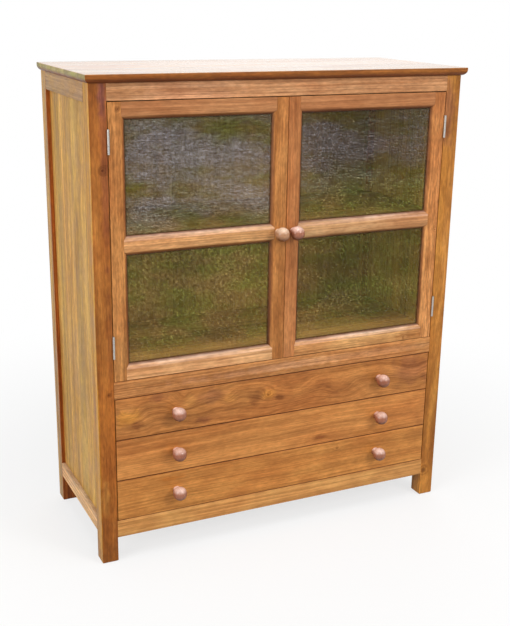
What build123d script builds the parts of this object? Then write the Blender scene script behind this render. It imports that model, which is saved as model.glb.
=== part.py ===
from build123d import *
import os
from math import radians, tan

# Glazed kitchen cabinet: a post-and-rail timber carcase under an overhanging top board, with a pair
# of framed glass doors above three full-width drawers. All sizes are in millimetres.
# X runs across the front from left to right, Y from front to back and Z up from the floor. The
# origin is the middle of the base of the whole cabinet, knobs and top board included.
# A side is -1 at the left and +1 at the right.

# ------------------------------------------------------------------ driving dimensions: carcase
carcase_width = 1000.0  # over the posts
carcase_depth = 420.0  # front face to back face of the posts
post_height = 1200.0
post_size = 42.0
post_arris = 1.5
foot_chamfer = 3.0
top_thickness = 20.0
top_side_overhang = 10.0
top_front_overhang = 14.0
top_edge_undercut = 14.0  # height of the rounding under the board's edge
top_arris = 2.0

rail_thickness = 28.0
rail_arris = 1.0
front_top_rail_height = 40.0
middle_rail_height = 44.0
middle_rail_depth = 40.0
front_bottom_rail_height = 46.0
front_bottom_rail_base = 67.0
side_top_rail_height = 45.0
side_bottom_rail_height = 40.0
side_bottom_rail_base = 77.0
tenon_thickness = 9.0
tenon_shoulder = 10.0
tenon_clearance = 3.5  # between the ends of two tenons that meet in a post

panel_recess = 10.0  # from the outer face of the frame to the panel
panel_thickness = 10.0
panel_groove = 9.0
panel_play = 1.0  # room for the panel to move in its groove

# ------------------------------------------------------------------ driving dimensions: inside
door_stop_gap = 0.5
floor_thickness = 14.0
shelf_thickness = 16.0
shelf_setback = 4.0  # behind the front posts
board_play = 1.0  # around the floor and the shelf
bearer_height = 18.0
back_bearer_depth = 18.0
button_length = 30.0
button_width = 26.0
button_height = 22.0
button_tongue = 6.0
button_groove_height = 8.0
button_groove_top = 8.0  # from the top of the rail down to the groove
button_play = 0.3
button_spacing = 330.0

# ------------------------------------------------------------------ driving dimensions: doors
fitting_gap = 2.0  # around the doors and the drawer fronts
door_thickness = 22.0
door_frame_flat = 31.0  # flat face of a stile or rail, without its moulding
glazing_bar_flat = 28.0
moulding_width = 9.0
moulding_depth = 9.0
moulding_step = 1.0  # square edge between the moulding's slope and the glass
cutter_start = 1.0  # how far ahead of the door's face the moulding cutter begins
glass_thickness = 3.0
glass_play = 1.5
rebate_width = 8.0
bead_chamfer = 4.0
bead_mitre_gap = 0.2
door_arris = 0.8
door_tenon_thickness = 7.0
door_tenon_cover = 9.0  # timber left beyond the end of a door tenon
door_tenon_haunch = 8.0
door_tenon_shoulder = 2.0

hinge_length = 57.0
hinge_end_distance = 60.0  # from the door's end to the hinge's end
leaf_setback = 2.0  # from the leaf's edge to the back of the door
leaf_thickness = 1.2
leaf_recess = 0.6
leaf_clearance = 0.2
knuckle_count = 3
knuckle_radius = 2.9
knuckle_gap = 0.3
pin_radius = 1.5
pin_clearance = 0.05
hinge_screw_radius = 1.9
hinge_screw_count = 3
hinge_screw_spacing = 19.0

catch_inset = 70.0  # from the door's meeting edge to the catch's middle
catch_length = 44.0
catch_thickness = 8.0  # of the part behind the top rail
catch_rise = 14.0  # up the back of the top rail
catch_drop = 13.0  # down behind the door
catch_arris = 1.2
catch_air = 0.3  # between the magnet and its counter plate
plate_length = 34.0
plate_height = 11.0
plate_thickness = 1.0

# ------------------------------------------------------------------ driving dimensions: knobs
ball_radius = 18.0
ball_standoff = 23.0  # from the door or drawer face to the ball's centre
neck_radius = 9.0
knob_foot_radius = 11.0
knob_foot_height = 1.5
dowel_radius = 4.0
dowel_length = 9.0
dowel_play = 0.1
door_knob_inset = 20.0  # from the door's meeting edge
drawer_knob_inset = 158.0  # from the drawer front's end

# ------------------------------------------------------------------ driving dimensions: drawers
drawer_names = ("bottom_drawer", "middle_drawer", "top_drawer")
drawer_front_height = 107.5
drawer_front_thickness = 20.0
drawer_front_arris = 1.2
drawer_side_thickness = 12.0
drawer_back_thickness = 12.0
drawer_back_gap = 15.0  # from the drawer's end to the back panel
drawer_box_drop = 4.0  # from the top of the front to the top of the box
drawer_back_drop = 5.0
drawer_bottom_thickness = 6.0
drawer_bottom_groove = 5.0
drawer_bottom_rise = 6.0
drawer_bottom_play = 0.5
dovetail_lap = 5.0  # timber left in front of the front dovetails
dovetail_count = 3
dovetail_slope = 8.0  # degrees
dovetail_share = 0.28  # half the width of a tail's neck, of the pitch
runner_width = 18.0
runner_height = 12.0
runner_lift = 2.0  # above the lower edge of the drawer front
runner_clearance = 0.3

# ------------------------------------------------------------------ places that follow
half_width = carcase_width / 2
inner_x = half_width - post_size
knob_projection = ball_standoff + ball_radius
front_y = (knob_projection - carcase_depth) / 2
back_y = front_y + carcase_depth
front_post_back = front_y + post_size
back_post_front = back_y - post_size
panel_inner_x = half_width - panel_recess - panel_thickness
back_panel_front = back_y - panel_recess - panel_thickness

front_bottom_rail_z = (front_bottom_rail_base, front_bottom_rail_base + front_bottom_rail_height)
drawer_pitch = drawer_front_height + fitting_gap
middle_rail_base = front_bottom_rail_z[1] + fitting_gap + len(drawer_names) * drawer_pitch
middle_rail_z = (middle_rail_base, middle_rail_base + middle_rail_height)
front_top_rail_z = (post_height - front_top_rail_height, post_height)
side_bottom_rail_z = (side_bottom_rail_base, side_bottom_rail_base + side_bottom_rail_height)
side_top_rail_z = (post_height - side_top_rail_height, post_height)
groove_z = (side_bottom_rail_z[1] - panel_groove, side_top_rail_z[0] + panel_groove)
panel_z = (groove_z[0] + panel_play, groove_z[1] - panel_play)
tenon_length = post_size - (rail_thickness + tenon_thickness) / 2 - tenon_clearance

floor_z = (middle_rail_z[1], middle_rail_z[1] + floor_thickness)
floor_front = front_y + door_thickness + door_stop_gap

glass_seat = moulding_depth + moulding_step
door_tenon_length = door_frame_flat - door_tenon_cover
leaf_width = door_thickness - leaf_setback
door_z = (middle_rail_z[1] + fitting_gap, front_top_rail_z[0] - fitting_gap)
door_edge = inner_x - fitting_gap
door_width = door_edge - fitting_gap / 2
bar_centre = (door_z[0] + door_z[1]) / 2
sight_edge = door_frame_flat + moulding_width
sight_u = (sight_edge, door_width - sight_edge)
lower_sight_z = (door_z[0] + sight_edge, bar_centre - glazing_bar_flat / 2 - moulding_width)
upper_sight_z = (bar_centre + glazing_bar_flat / 2 + moulding_width, door_z[1] - sight_edge)
pane_sights = (lower_sight_z, upper_sight_z)
bar_z = (bar_centre - glazing_bar_flat / 2, bar_centre + glazing_bar_flat / 2)

shelf_z = (bar_centre - shelf_thickness / 2, bar_centre + shelf_thickness / 2)
shelf_front = front_post_back + shelf_setback
drawer_end = back_panel_front - drawer_back_gap

pin_x = inner_x - fitting_gap / 2
pin_y = front_y - knuckle_radius - knuckle_gap
hinge_bases = (door_z[0] + hinge_end_distance, door_z[1] - hinge_end_distance - hinge_length)


# ------------------------------------------------------------------ the joiner's operations
def span(a, b):
    """The two ends of a stretch in rising order."""
    return (min(a, b), max(a, b))


def block(x, y, z, mode=Mode.ADD):
    """A square-cut timber or recess between the (low, high) pairs x, y and z."""
    with BuildSketch(Plane.XY.offset(z[0])) as section:
        with Locations(((x[0] + x[1]) / 2, (y[0] + y[1]) / 2)):
            Rectangle(x[1] - x[0], y[1] - y[0])
    extrude(section.sketch, amount=z[1] - z[0], mode=mode)


def shaped(plane, points, thickness, mode=Mode.ADD):
    """A board cut to the outline through the points, as thick as given along the plane's normal."""
    with BuildSketch(plane) as section:
        with BuildLine():
            Polyline(*points, close=True)
        make_face()
    extrude(section.sketch, amount=thickness, dir=plane.z_dir, mode=mode)


def face_plane(depth):
    """The upright plane at a depth behind the cabinet's front, drawn in X and Z, facing back."""
    return Plane(origin=(0, front_y + depth, 0), x_dir=(1, 0, 0), z_dir=(0, -1, 0))


def drill(x, z, radius, depth):
    """A round hole into the cabinet's front, centred on x and z."""
    with BuildSketch(face_plane(0)) as section:
        with Locations((x, z)):
            Circle(radius)
    extrude(section.sketch, amount=depth, dir=(0, 1, 0), mode=Mode.SUBTRACT)


# ------------------------------------------------------------------ carcase
def rail_tenon_z(z):
    """The height of a rail's tenon between its two shoulders."""
    return (z[0] + tenon_shoulder, z[1] - tenon_shoulder)


def cross_tenon(side, outer_y, inward, z, mode):
    """The tenon at one end of a front or back rail, or the mortise for it."""
    centre = outer_y + inward * rail_thickness / 2
    across = (centre - tenon_thickness / 2, centre + tenon_thickness / 2)
    block(span(side * inner_x, side * (inner_x + tenon_length)), across, rail_tenon_z(z), mode)


def side_tenon(side, shoulder_y, outward, z, mode):
    """The tenon at one end of a side rail, or the mortise for it."""
    centre = side * (half_width - rail_thickness / 2)
    across = (centre - tenon_thickness / 2, centre + tenon_thickness / 2)
    block(across, span(shoulder_y, shoulder_y + outward * tenon_length), rail_tenon_z(z), mode)


def hinge_leaf_pocket(face_x, into, base):
    """The shallow pocket for a hinge leaf in the upright face at face_x, cut the way into points."""
    depth = span(face_x, face_x + into * leaf_recess)
    block(depth, (front_y, front_y + leaf_width), (base, base + hinge_length), Mode.SUBTRACT)


def corner_post(side, at_front):
    """A corner post that runs down to the floor, with its mortises, grooves and hinge pockets."""
    outer_y = front_y if at_front else back_y
    inward = 1 if at_front else -1
    shoulder_y = outer_y + inward * post_size
    cross_rails = (front_bottom_rail_z, middle_rail_z, front_top_rail_z)
    if not at_front:
        cross_rails = (side_bottom_rail_z, side_top_rail_z)
    with BuildPart() as post:
        block(span(side * inner_x, side * half_width), span(outer_y, shoulder_y), (0, post_height))
        chamfer(post.faces().sort_by(Axis.Z)[0].edges(), length=foot_chamfer)
        fillet(post.edges().filter_by(Axis.Z), radius=post_arris)
        for z in cross_rails:
            cross_tenon(side, outer_y, inward, z, Mode.SUBTRACT)
        for z in (side_bottom_rail_z, side_top_rail_z):
            side_tenon(side, shoulder_y, -inward, z, Mode.SUBTRACT)
        groove_x = span(side * panel_inner_x, side * (half_width - panel_recess))
        block(groove_x, span(shoulder_y, shoulder_y - inward * panel_groove), groove_z, Mode.SUBTRACT)
        if at_front:
            for base in hinge_bases:
                hinge_leaf_pocket(side * inner_x, side, base)
        else:
            groove_y = (back_panel_front, back_panel_front + panel_thickness)
            block(span(side * inner_x, side * (inner_x + panel_groove)), groove_y, groove_z, Mode.SUBTRACT)
    return post.part


def button_groove(y):
    """The groove along a top rail that the tongues of the top board's buttons hook into."""
    top = post_height - button_groove_top
    block((-inner_x, inner_x), y, (top - button_groove_height, top), Mode.SUBTRACT)


def front_rail(z, depth, grooved=False):
    """A rail across the front, flush with the posts and tenoned into them."""
    with BuildPart() as rail:
        block((-inner_x, inner_x), (front_y, front_y + depth), z)
        fillet(rail.edges().filter_by(Axis.X), radius=rail_arris)
        for side in (-1, 1):
            cross_tenon(side, front_y, 1, z, Mode.ADD)
        if grooved:
            button_groove((front_y + depth - button_tongue, front_y + depth))
    return rail.part


def back_rail(z, grooved=False):
    """A rail across the back, grooved along its inner edge for the back panel."""
    groove_y = (back_panel_front, back_panel_front + panel_thickness)
    edge_z = (z[0], z[0] + panel_groove) if grooved else (z[1] - panel_groove, z[1])
    inner_face = back_y - rail_thickness
    with BuildPart() as rail:
        block((-inner_x, inner_x), (inner_face, back_y), z)
        fillet(rail.edges().filter_by(Axis.X), radius=rail_arris)
        for side in (-1, 1):
            cross_tenon(side, back_y, -1, z, Mode.ADD)
        block((-inner_x, inner_x), groove_y, edge_z, Mode.SUBTRACT)
        if grooved:
            button_groove((inner_face, inner_face + button_tongue))
    return rail.part


def side_rail(side, z, at_top):
    """A rail along one side, flush with the posts and grooved for the side panel."""
    edge_z = (z[0], z[0] + panel_groove) if at_top else (z[1] - panel_groove, z[1])
    groove_x = span(side * panel_inner_x, side * (half_width - panel_recess))
    with BuildPart() as rail:
        block(
            span(side * half_width, side * (half_width - rail_thickness)),
            (front_post_back, back_post_front),
            z,
        )
        fillet(rail.edges().filter_by(Axis.Y), radius=rail_arris)
        side_tenon(side, front_post_back, -1, z, Mode.ADD)
        side_tenon(side, back_post_front, 1, z, Mode.ADD)
        block(groove_x, (front_post_back, back_post_front), edge_z, Mode.SUBTRACT)
    return rail.part


def side_panel(side):
    """A side panel of upright boards glued edge to edge, loose in the grooves of its frame."""
    reach = panel_groove - panel_play
    with BuildPart() as panel:
        block(
            span(side * panel_inner_x, side * (half_width - panel_recess)),
            (front_post_back - reach, back_post_front + reach),
            panel_z,
        )
    return panel.part


def back_boards():
    """The back panel, loose in the grooves of the back posts and rails."""
    reach = inner_x + panel_groove - panel_play
    with BuildPart() as panel:
        block((-reach, reach), (back_panel_front, back_panel_front + panel_thickness), panel_z)
    return panel.part


def overhang_section(low_x, high_x, low_overhang, high_overhang):
    """The section of the top board across one direction: each overhanging end is rounded under."""
    undercut_z = post_height + top_edge_undercut
    top_z = post_height + top_thickness
    low_edge = (low_x - low_overhang, undercut_z)
    high_edge = (high_x + high_overhang, undercut_z if high_overhang else post_height)
    with BuildLine() as outline:
        Line((low_x, post_height), (high_x, post_height))
        if high_overhang:
            TangentArc(high_edge, (high_x, post_height), tangent=(0, -1))
        Polyline(high_edge, (high_edge[0], top_z), (low_edge[0], top_z), low_edge)
        TangentArc(low_edge, (low_x, post_height), tangent=(0, -1))
    make_face(outline.edges())


def top_slab():
    """The top board: it overhangs the front and both sides and is flush with the back."""
    with BuildPart() as slab:
        with BuildSketch(Plane.XZ) as across:
            overhang_section(-half_width, half_width, top_side_overhang, top_side_overhang)
        extrude(across.sketch, amount=carcase_width, both=True)
        with BuildSketch(Plane.YZ) as along:
            overhang_section(front_y, back_y, top_front_overhang, 0)
        extrude(along.sketch, amount=carcase_width, both=True, mode=Mode.INTERSECT)
        rim = slab.faces().sort_by(Axis.Z)[-1].edges().sort_by(Axis.Y)[:-1]
        fillet(rim, radius=top_arris)
    return slab.part


# ------------------------------------------------------------------ inside the carcase
def notched_board(front, front_notch, z):
    """A board across the inside that reaches the side panels, notched round the posts."""
    wide = panel_inner_x - board_play
    narrow = inner_x - board_play
    back = back_panel_front - board_play
    back_notch = back_post_front - board_play
    right = [(wide, back_notch), (narrow, back_notch), (narrow, back)]
    if front_notch:
        right = [(narrow, front), (narrow, front_notch), (wide, front_notch)] + right
    else:
        right = [(wide, front)] + right
    left = [(-x, y) for x, y in reversed(right)]
    with BuildPart() as board:
        shaped(Plane.XY.offset(z[0]), right + left, z[1] - z[0])
    return board.part


def board_bearers():
    """The strips that carry the floor and the shelf: four between the posts, one along the back."""
    with BuildPart() as bearers:
        for side in (-1, 1):
            for top in (floor_z[0], shelf_z[0]):
                block(
                    span(side * inner_x, side * panel_inner_x),
                    (front_post_back, back_post_front),
                    (top - bearer_height, top),
                )
        block(
            (-inner_x, inner_x),
            (back_panel_front - back_bearer_depth, back_panel_front),
            (floor_z[0] - bearer_height, floor_z[0]),
        )
    return bearers.part


def drawer_runners():
    """Three runners a side: each is fixed to both posts and fills the space between them."""
    runner_y = (front_y + drawer_front_thickness + door_stop_gap, back_panel_front - board_play)
    with BuildPart() as runners:
        for base in drawer_bases:
            z = (base + runner_lift, base + runner_lift + runner_height)
            for side in (-1, 1):
                block(span(side * inner_x, side * (inner_x - runner_width)), runner_y, z)
                block(
                    span(side * inner_x, side * (half_width - rail_thickness)),
                    (front_post_back, back_post_front),
                    z,
                )
    return runners.part


def top_buttons():
    """Buttons fixed under the top board, each with a tongue in the groove of a top rail."""
    tongue_top = post_height - button_groove_top - button_play
    tongue_base = tongue_top - button_groove_height + 2 * button_play
    base = post_height - button_height
    with BuildPart() as buttons:
        for inward, face in ((1, front_y + rail_thickness), (-1, back_y - rail_thickness)):
            near = face + inward * button_play
            far = near + inward * button_length
            tip = face - inward * (button_tongue - button_play)
            outline = [
                (near, base),
                (far, base),
                (far, post_height),
                (near, post_height),
                (near, tongue_top),
                (tip, tongue_top),
                (tip, tongue_base),
                (near, tongue_base),
            ]
            for x in (-button_spacing, 0, button_spacing):
                shaped(Plane.YZ.offset(x - button_width / 2), outline, button_width)
    return buttons.part


# ------------------------------------------------------------------ doors
def door_x(side, u):
    """The X of a point of a door that lies u from its hinge edge."""
    return side * (door_edge - u)


def door_points(side, points):
    """An outline on a door, given as distances from its hinge edge and heights."""
    return [(door_x(side, u), z) for u, z in points]


def pane_cutter(side, sight_z):
    """What is cut away for one pane: the bevelled moulding at the front and the rebate behind."""
    centre = ((door_x(side, sight_u[0]) + door_x(side, sight_u[1])) / 2, sum(sight_z) / 2)
    width = sight_u[1] - sight_u[0]
    height = sight_z[1] - sight_z[0]
    flare = moulding_width * (1 + cutter_start / moulding_depth)
    with BuildPart() as cutter:
        with BuildSketch(face_plane(-cutter_start)):
            with Locations(centre):
                Rectangle(width + 2 * flare, height + 2 * flare)
        with BuildSketch(face_plane(moulding_depth)):
            with Locations(centre):
                Rectangle(width, height)
        loft()
        with BuildSketch(face_plane(glass_seat)) as rebate:
            with Locations(centre):
                Rectangle(width + 2 * rebate_width, height + 2 * rebate_width)
        extrude(rebate.sketch, amount=door_thickness, dir=(0, 1, 0))
    return cutter.part


def door_member(outline, cutters):
    """One member of a door frame: its outline through the thickness, moulded and rebated."""
    shaped(face_plane(door_thickness), outline, door_thickness)
    for cutter in cutters:
        add(cutter, mode=Mode.SUBTRACT)


def door_tenon(side, u, z, mode):
    """A tenon of a door rail or bar, or its mortise, at the height z and reach u."""
    y = (front_y + glass_seat, front_y + glass_seat + door_tenon_thickness)
    block(span(door_x(side, u[0]), door_x(side, u[1])), y, z, mode)


def tenon_heights():
    """The heights of the tenons of the bottom rail, the glazing bar and the top rail."""
    return (
        (door_z[0] + door_tenon_haunch, door_z[0] + door_frame_flat - door_tenon_shoulder),
        (bar_z[0] + door_tenon_shoulder, bar_z[1] - door_tenon_shoulder),
        (door_z[1] - door_frame_flat + door_tenon_shoulder, door_z[1] - door_tenon_haunch),
    )


def door_stile(side, cutters, at_hinge):
    """A stile: its moulding is mitred at each pane's corners, and its flat edge takes the shoulders."""
    outer, flat, lip = 0, door_frame_flat, sight_edge
    mortise_u = (door_frame_flat - door_tenon_length, door_frame_flat)
    if not at_hinge:
        outer, flat, lip = door_width, door_width - door_frame_flat, door_width - sight_edge
        mortise_u = (flat, flat + door_tenon_length)
    points = [(outer, door_z[0]), (flat, door_z[0])]
    for low, high in pane_sights:
        points += [
            (flat, low - moulding_width),
            (lip, low),
            (lip, high),
            (flat, high + moulding_width),
        ]
    points += [(flat, door_z[1]), (outer, door_z[1])]
    with BuildPart() as stile:
        door_member(door_points(side, points), cutters)
        outer_face = stile.faces().filter_by(Axis.X).sort_by(Axis.X)
        outer_face = outer_face[-1] if (side > 0) == at_hinge else outer_face[0]
        fillet(outer_face.edges().filter_by(Axis.Z).sort_by(Axis.Y)[0], radius=door_arris)
        for z in tenon_heights():
            door_tenon(side, mortise_u, z, Mode.SUBTRACT)
        if at_hinge:
            for base in hinge_bases:
                hinge_leaf_pocket(side * door_edge, -side, base)
        else:
            knob_x = door_x(side, door_width - door_knob_inset)
            drill(knob_x, bar_centre, dowel_radius + dowel_play, dowel_length + dowel_play)
    return stile.part


def door_rail(side, cutter, at_top):
    """A top or bottom rail between the stiles' flats, with mitred moulding and stub tenons."""
    edge, flat, lip = door_z[0], door_z[0] + door_frame_flat, lower_sight_z[0]
    tenon_z = tenon_heights()[0]
    if at_top:
        edge, flat, lip = door_z[1], door_z[1] - door_frame_flat, upper_sight_z[1]
        tenon_z = tenon_heights()[2]
    ends = (door_frame_flat, door_width - door_frame_flat)
    points = [
        (ends[0], edge),
        (ends[1], edge),
        (ends[1], flat),
        (sight_u[1], lip),
        (sight_u[0], lip),
        (ends[0], flat),
    ]
    with BuildPart() as rail:
        door_member(door_points(side, points), [cutter])
        for end, reach in ((ends[0], -door_tenon_length), (ends[1], door_tenon_length)):
            door_tenon(side, (end, end + reach), tenon_z, Mode.ADD)
    return rail.part


def glazing_bar(side, cutters):
    """The bar between the two panes, moulded on both edges and tenoned into the stiles."""
    ends = (door_frame_flat, door_width - door_frame_flat)
    points = [
        (ends[0], bar_z[0]),
        (sight_u[0], lower_sight_z[1]),
        (sight_u[1], lower_sight_z[1]),
        (ends[1], bar_z[0]),
        (ends[1], bar_z[1]),
        (sight_u[1], upper_sight_z[0]),
        (sight_u[0], upper_sight_z[0]),
        (ends[0], bar_z[1]),
    ]
    with BuildPart() as bar:
        door_member(door_points(side, points), cutters)
        for end, reach in ((ends[0], -door_tenon_length), (ends[1], door_tenon_length)):
            door_tenon(side, (end, end + reach), tenon_heights()[1], Mode.ADD)
    return bar.part


def glass_panes(side):
    """The two panes of a door, bedded against the back of the moulding."""
    grow = rebate_width - glass_play
    y = (front_y + glass_seat, front_y + glass_seat + glass_thickness)
    with BuildPart() as panes:
        for low, high in pane_sights:
            x = span(door_x(side, sight_u[0] - grow), door_x(side, sight_u[1] + grow))
            block(x, y, (low - grow, high + grow))
    return panes.part


def glazing_beads(side):
    """Four mitred beads behind each pane, bevelled towards the glass and flush with the door."""
    front = glass_seat + glass_thickness
    with BuildPart() as beads:
        for low, high in pane_sights:
            x_low, x_high = span(door_x(side, sight_u[0]), door_x(side, sight_u[1]))
            gap = bead_mitre_gap / 2
            for x_in, x_out in ((x_low, x_low - rebate_width), (x_high, x_high + rebate_width)):
                points = [
                    (x_out, low - rebate_width + gap),
                    (x_in, low + gap),
                    (x_in, high - gap),
                    (x_out, high + rebate_width - gap),
                ]
                shaped(face_plane(door_thickness), points, door_thickness - front)
            for z_in, z_out in ((low, low - rebate_width), (high, high + rebate_width)):
                points = [
                    (x_low - rebate_width + gap, z_out),
                    (x_low + gap, z_in),
                    (x_high - gap, z_in),
                    (x_high + rebate_width - gap, z_out),
                ]
                shaped(face_plane(door_thickness), points, door_thickness - front)
        inner_faces = [
            face
            for face in beads.faces()
            if any(abs(face.center().Z - z) < gap for sight in pane_sights for z in sight)
            or abs(abs(face.center().X - (x_low + x_high) / 2) - (x_high - x_low) / 2) < gap
        ]
        inner_edges = [face.edges().sort_by(Axis.Y)[-1] for face in inner_faces]
        chamfer(inner_edges, length=bead_chamfer)
    return beads.part


# ------------------------------------------------------------------ hinges, catches and knobs
def knuckle_spans(base, turning):
    """The stretches of a hinge's barrel that belong to the door's leaf or to the frame's leaf."""
    length = (hinge_length - (knuckle_count - 1) * knuckle_gap) / knuckle_count
    starts = [base + index * (length + knuckle_gap) for index in range(knuckle_count)]
    first = 1 if turning else 0
    return [(start, start + length) for start in starts[first::2]]


def hinge_leaves(side, turning):
    """The two leaves of a door's hinges on one side of the gap, with interleaved knuckles."""
    face_x = door_edge if turning else inner_x
    into = -1 if turning else 1
    plate_x = span(
        side * (face_x + into * leaf_recess), side * (face_x + into * (leaf_recess - leaf_thickness))
    )
    screw_y = front_y + (leaf_width + leaf_clearance) / 2
    with BuildPart() as leaves:
        for base in hinge_bases:
            block(plate_x, (front_y + leaf_clearance, front_y + leaf_width), (base, base + hinge_length))
            for low, high in knuckle_spans(base, turning):
                with BuildSketch(Plane.XY.offset(low)) as ring:
                    with Locations((side * pin_x, pin_y)):
                        Circle(knuckle_radius)
                extrude(ring.sketch, amount=high - low)
                block(plate_x, (pin_y + knuckle_radius / 2, front_y + leaf_width), (low, high))
            with BuildSketch(Plane.XY.offset(base)) as bore:
                with Locations((side * pin_x, pin_y)):
                    Circle(pin_radius + pin_clearance)
            extrude(bore.sketch, amount=hinge_length, mode=Mode.SUBTRACT)
            with BuildSketch(Plane.YZ.offset(plate_x[0])) as holes:
                with Locations((screw_y, base + hinge_length / 2)):
                    with GridLocations(0, hinge_screw_spacing, 1, hinge_screw_count):
                        Circle(hinge_screw_radius)
            extrude(holes.sketch, amount=leaf_thickness, mode=Mode.SUBTRACT)
    return leaves.part


def hinge_pins():
    """The pin of each hinge, with both its ends dressed flush with the barrel."""
    with BuildPart() as pins:
        for base in hinge_bases:
            with BuildSketch(Plane.XY.offset(base)) as section:
                with Locations((-pin_x, pin_y), (pin_x, pin_y)):
                    Circle(pin_radius)
            extrude(section.sketch, amount=hinge_length)
    return pins.part


def catch_x(side, length):
    """The stretch that a catch or its counter plate takes up along the front."""
    centre = door_x(side, door_width - catch_inset)
    return (centre - length / 2, centre + length / 2)


def magnetic_catches():
    """Two magnetic catches on the back of the top rail, reaching down to their doors' backs."""
    rail_back = front_y + rail_thickness
    rail_base = front_top_rail_z[0]
    magnet_face = front_y + door_thickness + plate_thickness + catch_air
    back = rail_back + catch_thickness
    outline = [
        (magnet_face, rail_base - catch_drop),
        (back, rail_base - catch_drop),
        (back, rail_base + catch_rise),
        (rail_back, rail_base + catch_rise),
        (rail_back, rail_base),
        (magnet_face, rail_base),
    ]
    with BuildPart() as catches:
        for side in (-1, 1):
            x = catch_x(side, catch_length)
            shaped(Plane.YZ.offset(x[0]), outline, catch_length)
        back_edges = catches.faces().filter_by(Axis.Y).group_by(Axis.Y)[-1].edges()
        chamfer(back_edges, length=catch_arris)
    return catches.part


def counter_plate(side):
    """The steel plate on a door's back that its magnetic catch pulls on, with its screw hole."""
    back = front_y + door_thickness
    x = catch_x(side, plate_length)
    top = door_z[1] - fitting_gap / 2
    with BuildPart() as plate:
        block(x, (back, back + plate_thickness), (top - plate_height, top))
        with BuildSketch(face_plane(door_thickness)) as hole:
            with Locations((sum(x) / 2, top - plate_height / 2)):
                Circle(hinge_screw_radius)
        extrude(hole.sketch, amount=plate_thickness, dir=(0, 1, 0), mode=Mode.SUBTRACT)
    return plate.part


def turned_knob():
    """A ball knob turned in one piece with its neck and dowel, standing along -Y from the origin."""
    neck_end = ball_standoff - (ball_radius**2 - neck_radius**2) ** 0.5
    with BuildPart() as knob:
        with BuildSketch(Plane.XY) as section:
            with BuildLine():
                Polyline(
                    (0, -knob_projection),
                    (0, dowel_length),
                    (dowel_radius, dowel_length),
                    (dowel_radius, 0),
                    (knob_foot_radius, 0),
                    (knob_foot_radius, -knob_foot_height),
                    (neck_radius, -neck_end),
                )
                ThreePointArc(
                    (neck_radius, -neck_end),
                    (ball_radius, -ball_standoff),
                    (0, -knob_projection),
                )
            make_face()
        revolve(section.sketch, axis=Axis.Y)
    return knob.part


def knobs_at(places):
    """Knobs standing out of the front at the given places, as (x, z) pairs."""
    with BuildPart() as knobs:
        with Locations(*[(x, front_y, z) for x, z in places]):
            add(ball_knob)
    return knobs.part


# ------------------------------------------------------------------ drawers
def drawer_box_z(base):
    """The height of a drawer's sides, above the runner that carries them."""
    low = base + runner_lift + runner_height + runner_clearance
    return (low, base + drawer_front_height - drawer_box_drop)


def drawer_bottom_z(base):
    """The height of a drawer's bottom board."""
    low = drawer_box_z(base)[0] + drawer_bottom_rise
    return (low, low + drawer_bottom_thickness)


def drawer_back_z(base):
    """The height of a drawer's back, which stands on the bottom board."""
    return (drawer_bottom_z(base)[1], drawer_box_z(base)[1] - drawer_back_drop)


def dovetails(neck_y, tip_y, z, mode):
    """The tails between two heights on both drawer sides, or the sockets that they fit."""
    pitch = (z[1] - z[0]) / dovetail_count
    neck = pitch * dovetail_share
    tip = neck + abs(tip_y - neck_y) * tan(radians(dovetail_slope))
    for side in (-1, 1):
        x = span(side * door_edge, side * (door_edge - drawer_side_thickness))
        for index in range(dovetail_count):
            centre = z[0] + (index + 0.5) * pitch
            points = [
                (neck_y, centre - neck),
                (tip_y, centre - tip),
                (tip_y, centre + tip),
                (neck_y, centre + neck),
            ]
            shaped(Plane.YZ.offset(x[0]), points, x[1] - x[0], mode)


def front_dovetails(base, mode):
    """The half-blind dovetails between a drawer's sides and its front."""
    dovetails(
        front_y + drawer_front_thickness, front_y + dovetail_lap, drawer_box_z(base), mode
    )


def back_dovetails(base, mode):
    """The through dovetails between a drawer's sides and its back."""
    dovetails(drawer_end - drawer_back_thickness, drawer_end, drawer_back_z(base), mode)


def drawer_bottom_cut(base, y):
    """The groove that holds the bottom board along the given stretch."""
    reach = door_edge - drawer_side_thickness + drawer_bottom_groove
    block((-reach, reach), y, drawer_bottom_z(base), Mode.SUBTRACT)


def drawer_knob_places(base):
    """The two knobs of a drawer, at half the height of its front."""
    x = door_edge - drawer_knob_inset
    z = base + drawer_front_height / 2
    return ((-x, z), (x, z))


def drawer_front(base):
    """A drawer front, flush with the posts and lapped over the dovetails."""
    y = (front_y, front_y + drawer_front_thickness)
    with BuildPart() as front:
        block((-door_edge, door_edge), y, (base, base + drawer_front_height))
        fillet(front.faces().sort_by(Axis.Y)[0].edges(), radius=drawer_front_arris)
        front_dovetails(base, Mode.SUBTRACT)
        drawer_bottom_cut(base, (y[1] - drawer_bottom_groove, y[1]))
        for x, z in drawer_knob_places(base):
            drill(x, z, dowel_radius + dowel_play, dowel_length + dowel_play)
    return front.part


def drawer_sides(base):
    """The two sides, with tails at both ends and a groove for the bottom board."""
    box_z = drawer_box_z(base)
    y = (front_y + drawer_front_thickness, drawer_end)
    with BuildPart() as sides:
        for side in (-1, 1):
            block(span(side * door_edge, side * (door_edge - drawer_side_thickness)), y, box_z)
        block(
            (-door_edge, door_edge),
            (y[1] - drawer_back_thickness, y[1]),
            drawer_back_z(base),
            Mode.SUBTRACT,
        )
        front_dovetails(base, Mode.ADD)
        back_dovetails(base, Mode.ADD)
        drawer_bottom_cut(base, (front_y, y[1]))
    return sides.part


def drawer_back(base):
    """The back, between the tails of the sides and standing on the bottom board."""
    y = (drawer_end - drawer_back_thickness, drawer_end)
    with BuildPart() as back:
        block((-door_edge, door_edge), y, drawer_back_z(base))
        back_dovetails(base, Mode.SUBTRACT)
    return back.part


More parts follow.
